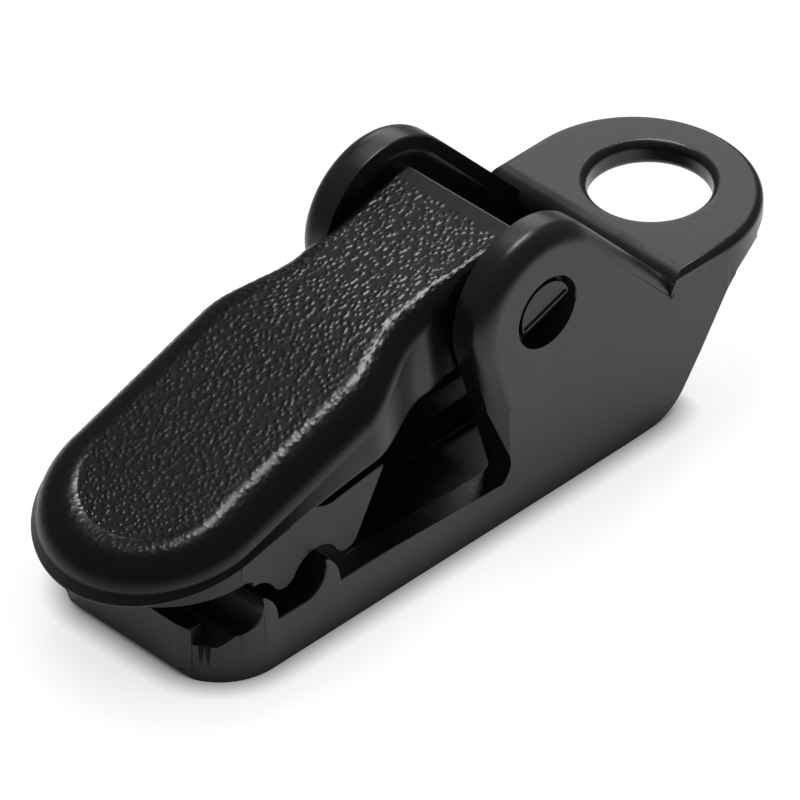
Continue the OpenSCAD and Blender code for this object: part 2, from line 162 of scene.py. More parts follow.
class ClipBodySettings(bpy.types.PropertyGroup):
    """The body's nose and feet, and the softness of its edges."""

    edge: length("Edge", "Small radius on the moulded edges", 0.2 * MM)
    nose_radius: length("Nose radius", "Radius of the nose's corners in plan", 7.2 * MM)
    lip_step: length("Lip step", "How far the lip's ends stand out of the nose", 0.12 * MM)
    ear_radius: length("Ear radius", "Radius of the ears", 9.1 * MM)
    ear_edge: length("Ear edge", "Radius of the ears' rounded edge", 2.1 * MM)
    ear_lean: angle("Ear lean", "Lean of the ears' front edge", 16.4)
    rim_height: length("Rim height", "Height of the rim at the ears", 4.5 * MM)
    rim_width: length("Rim width", "Width of the rim", 2.7 * MM)
    foot_radius: length("Foot radius", "Radius where an ear meets its rim", 2.4 * MM)
    foot_fade: length("Foot fade", "Height over which the ear's rounded edge turns sharp", 9 * MM)


class ClipFinishSettings(bpy.types.PropertyGroup):
    """Colours of the black plastic."""

    body_colour: FloatVectorProperty(
        name="Body", description="Matte black of the body",
        default=(0.022, 0.022, 0.0225), subtype="COLOR")
    jaw_colour: FloatVectorProperty(
        name="Jaw", description="Satin black of the jaw",
        default=(0.006, 0.006, 0.006), subtype="COLOR")


class ClipStageSettings(bpy.types.PropertyGroup):
    """Camera, lamps and floor."""

    azimuth: angle("Azimuth", "Camera's turn", -45.12)
    elevation: angle("Elevation", "Camera's height", 38.01)
    distance: length("Distance", "Camera's distance", 0.978)
    lens: FloatProperty(name="Lens", description="Focal length in millimetres", default=447.97)
    aim: FloatVectorProperty(
        name="Aim", description="Point the camera looks at",
        default=(-0.00074, -0.0003, 0.00938), subtype="TRANSLATION")
    overhead_power: FloatProperty(
        name="Overhead", description="Power of the overhead strip", default=3.5, unit="POWER")
    rear_power: FloatProperty(
        name="Rear", description="Power of the rear box", default=1.6, unit="POWER")
    room_level: FloatProperty(name="Room", description="Level of the room's light", default=0.12)
    floor_size: length("Floor", "Size of the floor", 12)


class ClipSettings(bpy.types.PropertyGroup):
    """All settings of the clip."""

    shell: PointerProperty(type=ClipShellSettings)
    grain: PointerProperty(type=ClipGrainSettings)
    teeth: PointerProperty(type=ClipTeethSettings)
    hub: PointerProperty(type=ClipHubSettings)
    body: PointerProperty(type=ClipBodySettings)
    finish: PointerProperty(type=ClipFinishSettings)
    stage: PointerProperty(type=ClipStageSettings)


# Working with objects

def clear_selection():
    """Deselects every object, so that the next operator acts on its own alone."""
    bpy.ops.object.select_all(action="DESELECT")


def settle(obj, name):
    """Names the object and its mesh and makes it the only one selected."""
    obj.name = obj.data.name = name
    clear_selection()
    obj.select_set(True)
    bpy.context.view_layer.objects.active = obj
    return obj


def place(obj):
    """Puts the object's place, turn and scale into its mesh."""
    bpy.ops.object.transform_apply(location=True, rotation=True, scale=True)
    return obj


def edit(obj, kind="FACE"):
    """Opens the object in edit mode with everything selected."""
    settle(obj, obj.name)
    bpy.ops.object.mode_set(mode="EDIT")
    bpy.ops.mesh.select_mode(type=kind)
    bpy.ops.mesh.select_all(action="SELECT")


def leave():
    """Goes back to object mode."""
    bpy.ops.object.mode_set(mode="OBJECT")


def merge(obj, distance=ONE_POINT):
    """Closes seams and poles and turns the faces outward."""
    edit(obj, "VERT")
    bpy.ops.mesh.remove_doubles(threshold=distance)
    bpy.ops.mesh.normals_make_consistent(inside=False)
    leave()


def clean(obj):
    """Takes out doubled points and slivers."""
    edit(obj, "VERT")
    bpy.ops.mesh.remove_doubles(threshold=ONE_POINT)
    bpy.ops.mesh.dissolve_degenerate(threshold=ONE_POINT)
    leave()


def slice_off(obj, point, away):
    """Cuts off what lies beyond a plane and closes the cut."""
    edit(obj)
    bpy.ops.mesh.bisect(
        plane_co=point, plane_no=away, use_fill=True, clear_outer=True, threshold=FINE_CUT)
    leave()


def combine(obj, tool, operation):
    """Joins, cuts or keeps the shared part of two closed shapes, and deletes the tool."""
    settle(obj, obj.name)
    step = obj.modifiers.new("Combine", "BOOLEAN")
    step.operation = operation
    step.solver = "EXACT"
    step.object = tool
    bpy.ops.object.modifier_apply(modifier=step.name)
    bpy.data.objects.remove(tool, do_unlink=True)


def mark_roomy(obj, room):
    """Marks the sharp edges that have room to be rounded at both ends."""
    shape = bmesh.new()
    shape.from_mesh(obj.data)
    mark = shape.edges.layers.float.new("bevel_weight_edge")
    tight = {v for v in shape.verts
             if min(e.calc_length() for e in v.link_edges) < room
             or min(loop.calc_angle() for loop in v.link_loops) < NARROW}
    for e in shape.edges:
        if e.is_manifold and e.calc_face_angle() > SHARP and not tight.intersection(e.verts):
            e[mark] = 1
    shape.to_mesh(obj.data)
    shape.free()


def soften(obj, width):
    """Rounds the sharp edges a little, as a mould leaves them."""
    settle(obj, obj.name)
    mark_roomy(obj, ROOM * width)
    step = obj.modifiers.new("Soft edges", "BEVEL")
    step.width = width
    step.segments = SOFT_SEGMENTS
    step.limit_method = "WEIGHT"
    step.use_clamp_overlap = False
    step.loop_slide = False
    bpy.ops.object.modifier_apply(modifier=step.name)
    obj.data.attributes.remove(obj.data.attributes["bevel_weight_edge"])
    clean(obj)


def smooth(obj, turn=SHARP, even=True):
    """Shades the curves smoothly and keeps the flat faces even."""
    settle(obj, obj.name)
    bpy.ops.object.shade_smooth_by_angle(angle=turn)
    if even:
        step = obj.modifiers.new("Even faces", "WEIGHTED_NORMAL")
        step.keep_sharp = True
        step.weight = 90
        bpy.ops.object.modifier_apply(modifier=step.name)


def finish_piece(obj, body, node, material):
    """Gives a piece its plastic and the body it rides on, and hides the solid it is dressed over.
    """
    obj.data.materials.clear()
    obj.data.materials.append(material)
    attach(obj, body)
    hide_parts(node)


def rod(context, x, z, radius, width, sides=TOOL_SIDES):
    """A round bar along the hinge's direction."""
    clear_selection()
    bpy.ops.mesh.primitive_cylinder_add(
        vertices=sides, radius=radius, depth=width, location=(x, 0, z),
        rotation=(math.pi / 2, 0, 0))
    return place(settle(context.object, "rod"))


def slab(context, one, other):
    """A block between two opposite corners."""
    one, other = Vector(one), Vector(other)
    clear_selection()
    bpy.ops.mesh.primitive_cube_add(
        size=1, location=(one + other) / 2, scale=[abs(d) for d in other - one])
    return place(settle(context.object, "slab"))


# Black plastic

# Where the cloudy noise is least and most, and the share of the colour there
CLOUD = (0.3, 0.7)
CLOUD_SHARES = (0.8, 1.2)
# Roughness of the jaw's top as a share of the roughness round it
TOP_SHARE = 0.68
# Height of the fine matte bite
BITE = 0.03 * MM


def node(tree, kind, **values):
    """Adds a shader node and sets its properties and input values."""
    made = tree.nodes.new(kind)
    for key, value in values.items():
        if key.startswith("in_"):
            made.inputs[key[3:].replace("_", " ")].default_value = value
        else:
            setattr(made, key, value)
    return made


def reckon(tree, operation, one, other):
    """The result of a math node on a socket and another socket or a number."""
    made = node(tree, "ShaderNodeMath", operation=operation)
    tree.links.new(one, made.inputs[0])
    if isinstance(other, bpy.types.NodeSocket):
        tree.links.new(other, made.inputs[1])
    else:
        made.inputs[1].default_value = other
    return made.outputs[0]


def black_plastic(name, colour, roughness, spread, fine, grained=False):
    """Moulded black plastic: slightly uneven colour, cloudy gloss and a fine matte bite."""
    material = bpy.data.materials.new(name)
    material.use_nodes = True
    tree = material.node_tree
    tree.nodes.clear()
    link = tree.links.new
    out = node(tree, "ShaderNodeOutputMaterial")
    skin = node(tree, "ShaderNodeBsdfPrincipled", in_IOR=1.47)
    link(skin.outputs["BSDF"], out.inputs["Surface"])
    where = node(tree, "ShaderNodeTexCoord")
    cloud = node(tree, "ShaderNodeTexNoise", in_Scale=220, in_Detail=4, in_Roughness=0.6)
    bite = node(tree, "ShaderNodeTexNoise", in_Scale=7000, in_Detail=2, in_Roughness=0.6)
    for tex in (cloud, bite):
        link(where.outputs["Object"], tex.inputs["Vector"])
    tint = node(tree, "ShaderNodeValToRGB")
    for element, spot, share in zip(tint.color_ramp.elements, CLOUD, CLOUD_SHARES):
        element.position = spot
        element.color = [c * share for c in colour] + [1]
    link(cloud.outputs["Fac"], tint.inputs["Fac"])
    link(tint.outputs["Color"], skin.inputs["Base Color"])
    gloss = node(tree, "ShaderNodeMapRange", in_From_Min=CLOUD[0], in_From_Max=CLOUD[1],
                 in_To_Min=roughness - spread, in_To_Max=roughness + spread)
    link(cloud.outputs["Fac"], gloss.inputs["Value"])
    if grained:
        mask = node(tree, "ShaderNodeAttribute", attribute_name="top")
        blend = node(tree, "ShaderNodeMix", data_type="FLOAT")
        link(mask.outputs["Fac"], blend.inputs["Factor"])
        link(gloss.outputs["Result"], blend.inputs["A"])
        blend.inputs["B"].default_value = TOP_SHARE * roughness
        link(blend.outputs["Result"], skin.inputs["Roughness"])
    else:
        link(gloss.outputs["Result"], skin.inputs["Roughness"])
    bump = node(tree, "ShaderNodeBump", in_Strength=fine, in_Distance=BITE)
    link(bite.outputs["Fac"], bump.inputs["Height"])
    link(bump.outputs["Normal"], skin.inputs["Normal"])
    return material


def body_plastic(context):
    """Matte black for the body."""
    colour = context.scene.clip.finish.body_colour
    return black_plastic("body_plastic", colour, roughness=0.28, spread=0.04, fine=0.5)


def jaw_plastic(context):
    """Satin black for the teeth and the hub."""
    colour = context.scene.clip.finish.jaw_colour
    return black_plastic("jaw_plastic", colour, roughness=0.38, spread=0.05, fine=0.35)


def jaw_top_plastic(context):
    """Satin black for the shell, glossier on its grained top."""
    colour = context.scene.clip.finish.jaw_colour
    return black_plastic(
        "jaw_top_plastic", colour, roughness=0.34, spread=0.04, fine=0.3, grained=True)


# The shell's form

# Rows round the tip as a share of those along the sides, and the rows over the rear edge
TIP_ROWS = 0.85
REAR_TURNS = np.radians([22.5, 45, 67.5, 90])
# Points round the rim, up the side, over the rounding and across half the top
RIM_POINTS, SIDE_POINTS, ROUND_POINTS, TOP_POINTS = 4, 12, 38, 55
# Share of the rounding at which the grain begins, and over which it comes in
GRAIN_START, GRAIN_RUN = 0.2, 0.25
# Distance over which the grain ends before the rear margin
GRAIN_FADE = 0.5 * MM
# Squared distance from a pebble's middle, in pebbles, at which its slope ends
PEBBLE_FOOT = 0.25
# Height from which the hollow under the neck is cut
HOLLOW_LOW = 10 * MM
# Turns that stay sharp on the shell and on the hub
SHELL_SHARP, HUB_SHARP = math.radians(40), math.radians(35)


def ease(t):
    """A share from 0 to 1 that starts and ends gently."""
    t = np.clip(t, 0, 1)
    return t * t * (3 - 2 * t)


def crown(s, t):
    """Height of the top at a distance behind the tip."""
    steep, mild = math.tan(s.bill_slope), math.tan(s.neck_slope)
    at_knee = s.top_height - (s.top_end - s.knee) * mild
    near = np.clip(0.5 - np.abs(t - s.knee) / s.knee_length, 0, None)
    bend = near ** 2 * s.knee_length / 2 * (steep - mild)
    return at_knee + (t - s.knee) * np.where(t < s.knee, steep, mild) - bend


def half_width(s, t):
    """Half width of bill, flare, waist and neck."""
    flare = ease((t - s.flare_front) / (s.flare_rear - s.flare_front))
    neck = ease((t - s.flare_rear) / (s.neck_start - s.flare_rear))
    return (s.bill_radius + (s.waist_half - s.bill_radius) * flare
            + (s.neck_half - s.waist_half) * neck)


def lower_edge(s, t):
    """Height of the shell's lower edge, which drops in a curve to the tip."""
    drop = np.clip((s.neck_start - t) / s.neck_start, 0, None) ** 2
    return s.neck_under + (s.tip_under - s.neck_under) * drop


def shell_rows(s):
    """Turn round the tip and distance behind it for each row, closer together at the rear edge."""
    tip = np.linspace(0, math.pi / 2, int(math.pi / 2 * s.bill_radius / s.step * TIP_ROWS) + 1)
    run = s.top_end - s.edge - s.bill_radius
    side = np.linspace(0, run, int(run / s.step) + 1)[1:] + s.bill_radius
    last = s.top_end - s.edge + s.edge * np.sin(REAR_TURNS)
    turn = np.concatenate([tip, np.full(len(side) + len(last), math.pi / 2)])
    back = np.concatenate([s.bill_radius * (1 - np.cos(tip)), side, last])
    return turn, back


def shell_columns(s):
    """Stations from the middle of the underside to the middle of the top, by the rim and the side.
    Each is a stage and a share of the way through it."""
    stages = [("under", [0]), ("rim", np.linspace(0, 1, RIM_POINTS)),
              ("side", np.linspace(0, 1, SIDE_POINTS)[1:-1]),
              ("round", np.linspace(0, 1, ROUND_POINTS)),
              ("top", np.linspace(0, 1, TOP_POINTS)[1:])]
    return [(stage, share) for stage, shares in stages for share in shares]


def shell_point(s, turn, back, stage, share):
    """Points of one station on all rows: distance behind the tip, half width and height."""
    share_left = 1 - ease((back - s.flare_front) / (s.top_end - s.flare_front))
    inward = s.neck_round + (s.round_in - s.neck_round) * share_left
    downward = s.neck_round + (s.round_down - s.neck_round) * share_left
    on_tip = turn < math.pi / 2
    wide = half_width(s, back)
    # The last rows round the rear edge over
    late = np.clip((back - (s.top_end - s.edge)) / s.edge, 0, 1)
    trim = s.edge * (1 - np.sqrt(1 - late ** 2))

    def plan(inset):
        t = np.where(on_tip, s.bill_radius - (s.bill_radius - inset) * np.cos(turn), back)
        y = np.where(on_tip, (s.bill_radius - inset) * np.sin(turn), wide - inset)
        return t, y

    inner_t, inner_y = plan(inward)
    low = lower_edge(s, back)
    shoulder = crown(s, inner_t) - downward
    if stage == "under":
        return plan(0)[0], 0 * back, low + trim
    if stage == "rim":
        a = share * math.pi / 2
        t, y = plan(s.edge * (1 - math.sin(a)) + trim)
        return t, y, low + s.edge * (1 - math.cos(a)) + trim * (1 - share)
    if stage == "side":
        t, y = plan(trim + s.draft * share)
        return t, y, (low + s.edge) * (1 - share) + shoulder * share
    a = share * math.pi / 2
    if stage == "round":
        t, y = plan(s.draft + (inward - s.draft) * (1 - math.cos(a)) + trim * (1 - share))
        return t, y, shoulder + downward * math.sin(a) - trim * share
    return inner_t, inner_y * (1 - share), crown(s, inner_t) - trim


def topness(stage, share):
    """How much a station belongs to the grained top."""
    on_round = float(ease((share - GRAIN_START) / GRAIN_RUN))
    return {"top": 1.0, "round": on_round}.get(stage, 0.0)


def grain_share(s, g, back):
    """How much of the grain's height each row has."""
    along = g.front_share + (1 - g.front_share) * ease(back / s.neck_start)
    return along * ease((s.top_end - g.rear_margin - back) / GRAIN_FADE)


class ClipShellOperator(bpy.types.Operator):
    """Models the domed shell of the upper jaw with its pebble grain"""

    bl_idname = "clip.shell"
    bl_label = "Jaw shell"

    def execute(self, context):
        s, g = context.scene.clip.shell, context.scene.clip.grain
        turn, back = shell_rows(s)
        half = shell_columns(s)
        stations = half + half[-2::-1]
        clear_selection()
        bpy.ops.mesh.primitive_grid_add(
            x_subdivisions=len(stations) - 1, y_subdivisions=len(back) - 1, size=1)
        shell = settle(context.object, "jaw_shell")
        points = np.zeros((len(back), len(stations), 3))
        top = np.zeros((len(back), len(stations)))
        for j, (stage, part) in enumerate(stations):
            t, y, z = shell_point(s, turn, back, stage, part)
            side = -1 if j < len(half) else 1
            points[:, j] = np.stack([JAW_LOW.x + t, side * y, z], axis=1)
            top[:, j] = topness(stage, part)
        count = len(shell.data.vertices)
        if count != top.size:
            raise RuntimeError("the shell's grid has %d points, not %d" % (count, top.size))
        share = top * grain_share(s, g, back)[:, None]
        shell.data.vertices.foreach_set("co", points.reshape(-1))
        mask = shell.data.attributes.new("top", "FLOAT", "POINT")
        mask.data.foreach_set("value", top.reshape(-1))
        group = shell.vertex_groups.new(name="grain")
        for index, value in enumerate(share.reshape(-1)):
            if value > 0:
                group.add([index], float(value), "REPLACE")
        shell.data.update()
        merge(shell, 2 * ONE_POINT)
        # Close the rear end
        edit(shell, "EDGE")
        bpy.ops.mesh.select_non_manifold(
            extend=False, use_wire=False, use_multi_face=False, use_verts=False)
        bpy.ops.mesh.edge_face_add()
        bpy.ops.mesh.select_all(action="SELECT")
        bpy.ops.mesh.normals_make_consistent(inside=False)
        leave()
        self.press_grain(shell, g)
        self.hollow_neck(context, shell, s)
        smooth(shell, SHELL_SHARP, even=False)
        finish_piece(shell, "upper_jaw", "upper_jaw", jaw_top_plastic(context))
        return {"FINISHED"}

    def press_grain(self, shell, g):
        """Raises round pebbles where the grain is."""
        pebbles = bpy.data.textures.new("jaw_pebbles", "VORONOI")
        pebbles.distance_metric = "DISTANCE_SQUARED"
        pebbles.noise_scale = g.pebble
        pebbles.use_color_ramp = True
        ramp = pebbles.color_ramp
        ramp.interpolation = "EASE"
        ramp.elements[0].position, ramp.elements[0].color = 0.0, (1, 1, 1, 1)
        ramp.elements[1].position, ramp.elements[1].color = PEBBLE_FOOT, (0, 0, 0, 1)
        settle(shell, shell.name)
        raise_up = shell.modifiers.new("Grain", "DISPLACE")
        raise_up.texture = pebbles
        raise_up.texture_coords = "LOCAL"
        raise_up.direction = "NORMAL"
        raise_up.mid_level = 1
        raise_up.strength = g.height
        raise_up.vertex_group = "grain"
        bpy.ops.object.modifier_apply(modifier=raise_up.name)

    def hollow_neck(self, context, shell, s):
        """Cuts the hollow that lightens the neck from below."""
        front = JAW_LOW.x + s.flare_front + 2 * s.wall
        rear = PIVOT.x - context.scene.clip.hub.hub_radius - s.wall
        top = float(crown(s, np.array(front - JAW_LOW.x))) - s.wall
        clear_selection()
        bpy.ops.mesh.primitive_cube_add(
            size=1, location=((front + rear) / 2, 0, (top + HOLLOW_LOW) / 2),
            scale=(rear - front, 2 * (s.neck_half - s.wall), top - HOLLOW_LOW))
        combine(shell, place(settle(context.object, "hollow")), "DIFFERENCE")


# How far the tooth block's blank rises over the neck's lower edge, and runs on behind
BLANK_RISE, BLANK_RUN = 0.4 * MM, 4 * MM
# How far the blank's front and rear overlap
OVERLAP = 0.01 * MM
# How far the block's top is sunk in the shell, beside the gap and at its start
SUNK, GAP_SUNK = 0.35 * MM, 0.3 * MM
# How far the gap's cut leads its start, and what the shell's rim hides of the gap
GAP_LEAD, GAP_HIDDEN = 2 * MM, 0.4 * MM
# The cutting cover: run past the rear, half width, height and steps along the clip
COVER_RUN, COVER_HALF, COVER_HEIGHT, COVER_STEPS = 6 * MM, 0.025, 0.03, 40


class ClipTeethOperator(bpy.types.Operator):
    """Models the tooth block under the bill"""

    bl_idname = "clip.teeth"
    bl_label = "Upper teeth"

    def execute(self, context):
        s, t = context.scene.clip.shell, context.scene.clip.teeth
        tip_x = JAW_LOW.x
        wide = s.bill_radius - t.inset
        notches = [tip_x + t.notch_at + i * t.pitch for i in range(2)]
        tips = [x + t.pitch / 2 for x in notches]
        top = s.neck_under + BLANK_RISE
        middle = t.tip_height + t.tip_radius
        # The arcs of notch and tip meet at this height
        radii = t.notch_radius + t.tip_radius
        join = t.notch_height + (middle - t.notch_height) * t.notch_radius / radii
        block = slab(context, (tip_x, -wide - OVER, t.under), (notches[0], wide + OVER, top))
        rear = tips[1] + (top - t.tip_height) / math.tan(t.rear_slope) + BLANK_RUN
        behind = slab(context, (notches[0] - OVERLAP, -wide - OVER, join), (rear, wide + OVER, top))
        combine(block, behind, "UNION")
        for x in notches:
            combine(block, rod(context, x, t.notch_height, t.notch_radius, 4 * wide), "DIFFERENCE")
        for x in tips:
            combine(block, rod(context, x, middle, t.tip_radius, 2 * wide + 2 * OVER), "UNION")
        # The rear face slopes up and back from the last tip
        flank = Vector((tips[1] + t.tip_radius * math.sin(t.rear_slope), 0,
                        middle - t.tip_radius * math.cos(t.rear_slope)))
        slice_off(block, flank, (math.sin(t.rear_slope), 0, -math.cos(t.rear_slope)))
        # The plan follows the bill, standing in
        plan = slab(context, (tip_x + s.bill_radius, -wide, 0), (rear + OVER, wide, 2 * top))
        clear_selection()
        bpy.ops.mesh.primitive_cylinder_add(
            vertices=FRONT_SIDES, radius=wide, depth=2 * top,
            location=(tip_x + s.bill_radius, 0, top))
        combine(plan, place(settle(context.object, "front")), "UNION")
        combine(block, plan, "INTERSECT")
        self.fit_under(context, block, s, rear)
        for side in (-1, 1):
            self.open_gap(context, block, s, t, side * wide, rear)
        merge(block)
        soften(block, t.edge)
        smooth(block)
        block.name = block.data.name = "jaw_teeth"
        finish_piece(block, "upper_jaw", "upper_jaw", jaw_plastic(context))
        return {"FINISHED"}

    def fit_under(self, context, block, s, rear):
        """Trims the block's top to follow the shell's lower edge just inside it."""
        self.cut_above(context, block, -OVER, rear + COVER_RUN - JAW_LOW.x,
                       (-COVER_HALF, COVER_HALF), lambda back: lower_edge(s, back) + SUNK)

    def open_gap(self, context, block, s, t, side_y, rear):
        """Opens the gap between the shell's rim and the block's side, wider toward the rear."""
        inner = side_y - math.copysign(t.gap_depth, side_y)
        drop = t.inset + GAP_HIDDEN + t.gap_height
        self.cut_above(context, block, t.gap_at - GAP_LEAD, rear + COVER_RUN - JAW_LOW.x,
                       sorted((inner, 2 * side_y - inner)),
                       lambda back: lower_edge(s, back) + GAP_SUNK
                       - drop * ease((back - t.gap_at) / t.gap_run))

    def cut_above(self, context, block, front, rear, sides, height):
        """Cuts the block off above a height that changes along the clip."""
        clear_selection()
        bpy.ops.mesh.primitive_grid_add(x_subdivisions=COVER_STEPS, y_subdivisions=1, size=1)
        cover = settle(context.object, "cover")
        for v in cover.data.vertices:
            back = front + (rear - front) * (v.co.x + 0.5)
            y = sides[0] + (sides[1] - sides[0]) * (v.co.y + 0.5)
            v.co = (JAW_LOW.x + back, y, float(height(np.array(back))))
        cover.data.update()
        edit(cover)
        bpy.ops.mesh.extrude_region_move(TRANSFORM_OT_translate={"value": (0, 0, COVER_HEIGHT)})
        bpy.ops.mesh.select_all(action="SELECT")
        bpy.ops.mesh.normals_make_consistent(inside=False)
        leave()
        combine(block, cover, "DIFFERENCE")


# Length of the bar along the ramp's edge, in radii of the trunnion's end
BAR_LENGTH = 1.84


class ClipHubOperator(bpy.types.Operator):
    """Models the hub and the two trunnions with their lead-in ramps"""

    bl_idname = "clip.hub"
    bl_label = "Hub and trunnions"

    def execute(self, context):
        s, h = context.scene.clip.shell, context.scene.clip.hub
        face = h.trunnion_half - h.bar_height
        shoulder = h.trunnion_half - h.end_length
        hub = self.disc(context, h.trunnion_radius, 2 * shoulder)
        hub.name = hub.data.name = "jaw_hub"
        combine(hub, self.disc(context, h.end_radius, 2 * face), "UNION")
        soften(hub, h.edge)
        # Each end is flat above a line along the bill's top and ramps away below it
        down = Vector((math.sin(s.bill_slope), 0, -math.cos(s.bill_slope)))
        for side in (-1, 1):
            out = Vector((0, side, 0))
            normal = (out * h.trunnion_radius + down * h.ramp).normalized()
            slice_off(hub, PIVOT + out * face, normal)
        for side in (-1, 1):
            clear_selection()
            bpy.ops.mesh.primitive_cube_add(
                size=1, location=PIVOT + Vector((0, side * face, 0)) - down * h.bar_width / 2,
                rotation=(0, -s.bill_slope, 0),
                scale=(BAR_LENGTH * h.end_radius, 2 * h.bar_height, h.bar_width))
            bar = place(settle(context.object, "bar"))
            soften(bar, h.edge)
            combine(hub, bar, "UNION")
        drum = self.disc(context, h.hub_radius, 2 * s.neck_half)
        soften(drum, h.edge)
        combine(hub, drum, "UNION")
        merge(hub)
        clean(hub)
        smooth(hub, HUB_SHARP)
        finish_piece(hub, "upper_jaw", "upper_jaw", jaw_plastic(context))
        return {"FINISHED"}

    def disc(self, context, radius, width):
        """A finely divided round bar on the hinge's line."""
        return rod(context, PIVOT.x, PIVOT.z, radius, width, HUB_SIDES)


# Faces that turn less than this become one before the body's edges are softened
FLAT = math.radians(0.4)
# Turns of the planes that trim the lip's ends to the nose
LIP_TURNS = np.radians([8, 16, 24])
# How far the foot's two fillings are sunk in the rim
FOOT_SUNK, STRIP_SUNK = 0.5 * MM, 0.3 * MM
# Share of the fade over which the slanted cut leaves the foot's corner
FADE_SHARE = 0.8
# Width of a tool that cuts right across the clip
TOOL_WIDTH = 0.1


class ClipBodyOperator(bpy.types.Operator):
    """Trims the body's lip, fills the ears' feet and softens the moulding's edges"""

    bl_idname = "clip.body"
    bl_label = "Body"

    def execute(self, context):
        b = context.scene.clip.body
        mesh = frame["nodes"]["body"].data.copy()
        body = bpy.data.objects.new("clip_body", mesh)
        context.scene.collection.objects.link(body)
        settle(body, "clip_body")
        merge(body)
        low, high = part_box("body")
        for side in (-1, 1):
            self.trim_lip(body, b, low, side * high.y)
            self.fill_foot(context, body, b, side * high.y)
        merge(body)
        edit(body)
        bpy.ops.mesh.dissolve_limited(angle_limit=FLAT)
        leave()
        soften(body, b.edge)
        smooth(body)
        finish_piece(body, "body", "body", body_plastic(context))
        return {"FINISHED"}

    def trim_lip(self, body, b, low, side_y):
        """Trims the front lip's end to the nose's round corner by planes that touch the corner."""
        middle = Vector((low.x + b.nose_radius, side_y - math.copysign(b.nose_radius, side_y), 0))
        for turn in LIP_TURNS:
            away = Vector((-math.cos(turn), math.copysign(math.sin(turn), side_y), 0))
            slice_off(body, middle + away * (b.nose_radius + b.lip_step), away)

    def fill_foot(self, context, body, b, side_y):
        """Runs an ear's front edge down to the rim in a curve, sharp at the foot, rounder above."""
        lean, hair = b.ear_lean, math.copysign(HAIR, side_y)
        inner_y = side_y - math.copysign(b.rim_width, side_y) + 5 * hair
        edge = PIVOT + Vector((-b.ear_radius * math.cos(lean), 0, -b.ear_radius * math.sin(lean)))
        corner = Vector((edge.x + (edge.z - b.rim_height) * math.tan(lean), 0, b.rim_height))
        reach = b.foot_radius / math.tan((math.pi / 2 - lean) / 2)
        deep = corner.x + 2 * b.ear_edge
        # The curve at the foot
        foot = slab(context, (corner.x - reach, inner_y, b.rim_height - FOOT_SUNK),
                    (deep, side_y - hair, b.rim_height + reach * math.cos(lean)))
        hollow_z = b.rim_height + b.foot_radius - 3 * abs(hair)
        hollow = rod(context, corner.x - reach, hollow_z, b.foot_radius, TOOL_WIDTH)
        combine(foot, hollow, "DIFFERENCE")
        # The corner that fades into the ear's rounded edge
        strip = slab(
            context, (corner.x - b.foot_fade, inner_y + 5 * hair, b.rim_height - STRIP_SUNK),
            (deep - STRIP_SUNK, side_y - 2 * hair, b.rim_height + b.foot_fade))
        out = Vector((0, math.copysign(1, side_y), 0))
        front = Vector((-math.cos(lean), 0, -math.sin(lean)))
        up = Vector((-math.sin(lean), 0, math.cos(lean)))
        slant = ((front + out).normalized() * FADE_SHARE * (b.foot_fade - reach)
                 + up * b.ear_edge * (math.sqrt(2) - 1))
        slice_off(strip, corner - front * 2 * abs(hair), front.normalized())
        slice_off(strip, corner + Vector((0, side_y, 0)) + up * reach, slant.normalized())
        combine(foot, strip, "UNION")
        combine(body, foot, "UNION")


# Point that the lamps face
LAMP_AIM = (0, 0, 0.012)
# The floor lies this far under the clip
FLOOR_DROP = 0.02 * MM
# Reach of the paper's wide shade and of the close one, in metres
WIDE_REACH, CLOSE_REACH = 0.014, 0.003
# How much the camera's view lifts the wide shade, and the close one's power
WIDE_LIFT, CLOSE_POWER = 0.6, 1.6
# Middle of the bright paper
PAPER_MIDDLE = (0.02, -0.015, 0)


